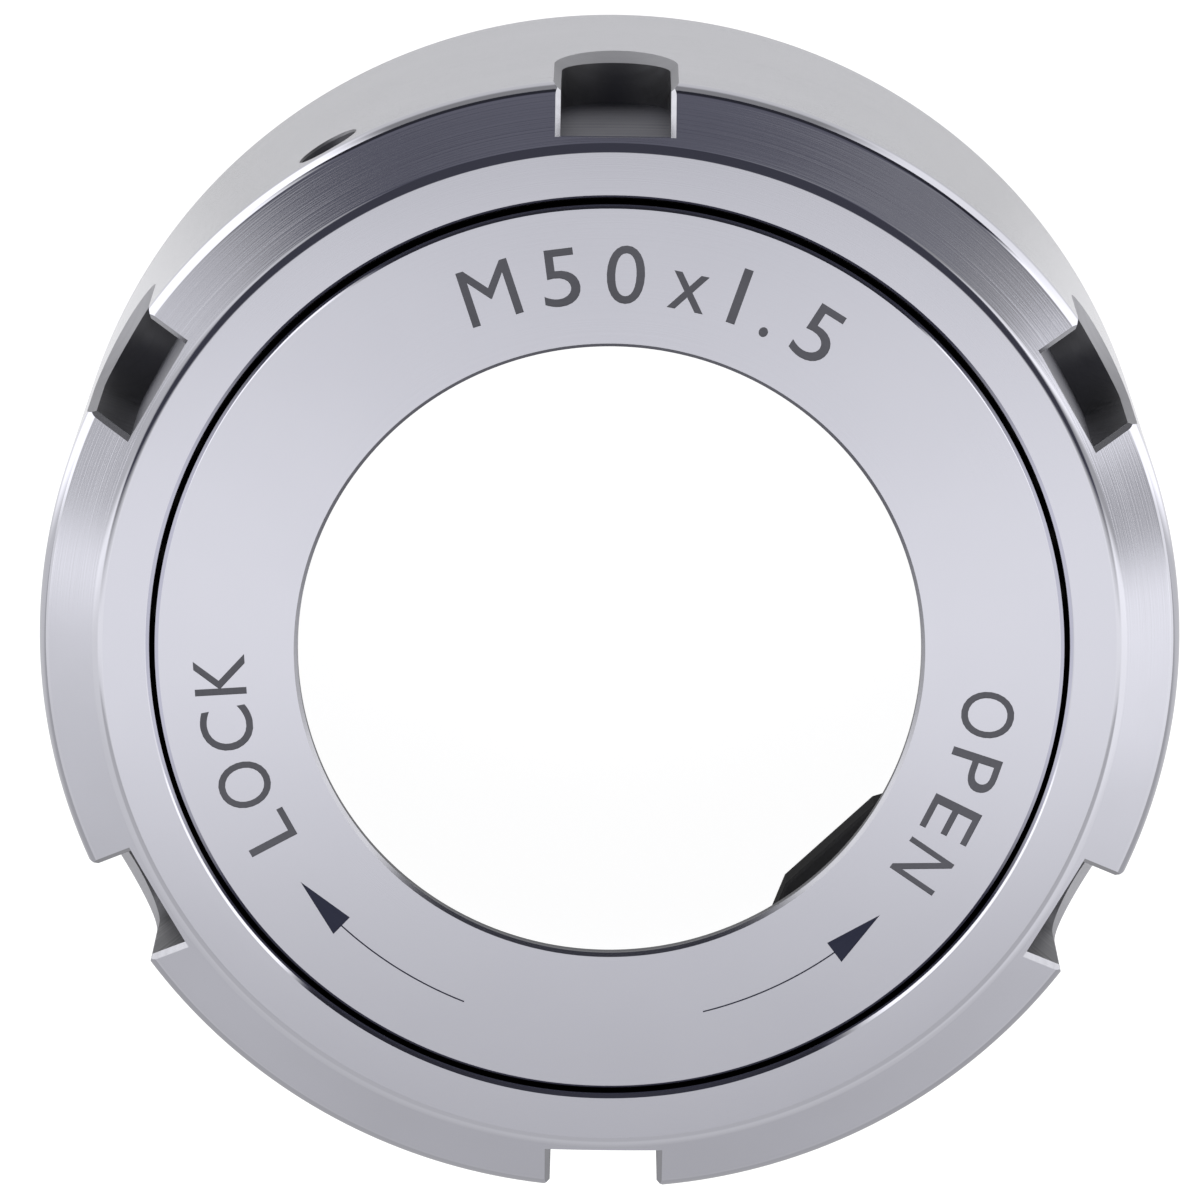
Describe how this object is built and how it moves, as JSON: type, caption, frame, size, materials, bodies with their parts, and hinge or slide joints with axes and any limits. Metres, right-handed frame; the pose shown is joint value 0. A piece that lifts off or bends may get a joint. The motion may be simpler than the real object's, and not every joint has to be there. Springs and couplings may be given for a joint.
{
  "type": "collet nut",
  "caption": "Ball-bearing collet nut: a slotted, threaded nut with a clamp ring that turns inside it on a row of balls and a half-moon extractor key.",
  "frame": {"origin": "centre of the threaded rear face, which the nut rests on", "axes": "+Z along the nut's axis to the marked front face; +Y through the middle of one spanner slot"},
  "size_m": [0.063, 0.063, 0.0255],
  "materials": {
    "nut_steel": "hardened steel with a thin bright plating, fine turning marks, satin sheen",
    "ring_steel": "hardened steel with a thin bright plating, ground smooth, laser-marked face",
    "key_black": "black oxide on steel, satin",
    "plug_steel": "plain steel pin, turned end",
    "ball_steel": "polished bearing steel"
  },
  "bodies": {
    "nut": {"nut_body": "nut_steel", "loading_plug": "plug_steel"},
    "ring": {"clamp_ring": "ring_steel", "extractor_key": "key_black"},
    "balls": {"ball_01": "ball_steel", "ball_02": "ball_steel", "ball_03": "ball_steel", "ball_04": "ball_steel", "ball_05": "ball_steel", "ball_06": "ball_steel", "ball_07": "ball_steel", "ball_08": "ball_steel", "ball_09": "ball_steel", "ball_10": "ball_steel", "ball_11": "ball_steel", "ball_12": "ball_steel", "ball_13": "ball_steel", "ball_14": "ball_steel", "ball_15": "ball_steel", "ball_16": "ball_steel", "ball_17": "ball_steel", "ball_18": "ball_steel", "ball_19": "ball_steel", "ball_20": "ball_steel", "ball_21": "ball_steel", "ball_22": "ball_steel", "ball_23": "ball_steel", "ball_24": "ball_steel", "ball_25": "ball_steel", "ball_26": "ball_steel", "ball_27": "ball_steel", "ball_28": "ball_steel", "ball_29": "ball_steel", "ball_30": "ball_steel", "ball_31": "ball_steel", "ball_32": "ball_steel", "ball_33": "ball_steel", "ball_34": "ball_steel", "ball_35": "ball_steel", "ball_36": "ball_steel", "ball_37": "ball_steel", "ball_38": "ball_steel", "ball_39": "ball_steel", "ball_40": "ball_steel", "ball_41": "ball_steel", "ball_42": "ball_steel", "ball_43": "ball_steel", "ball_44": "ball_steel", "ball_45": "ball_steel", "ball_46": "ball_steel", "ball_47": "ball_steel", "ball_48": "ball_steel", "ball_49": "ball_steel"}
  },
  "joints": [
    {"name": "ring_spin", "type": "hinge", "parent": "nut", "child": "ring", "pos_m": [0, 0, 0.02085], "axis": [0, 0, 1], "continuous": true},
    {"name": "ball_row_spin", "type": "hinge", "parent": "nut", "child": "balls", "pos_m": [0, 0, 0.02085], "axis": [0, 0, 1], "continuous": true}
  ],
  "couplings": [
    {"joint": "ball_row_spin", "follows": "ring_spin", "ratio": 0.4777}
  ]
}
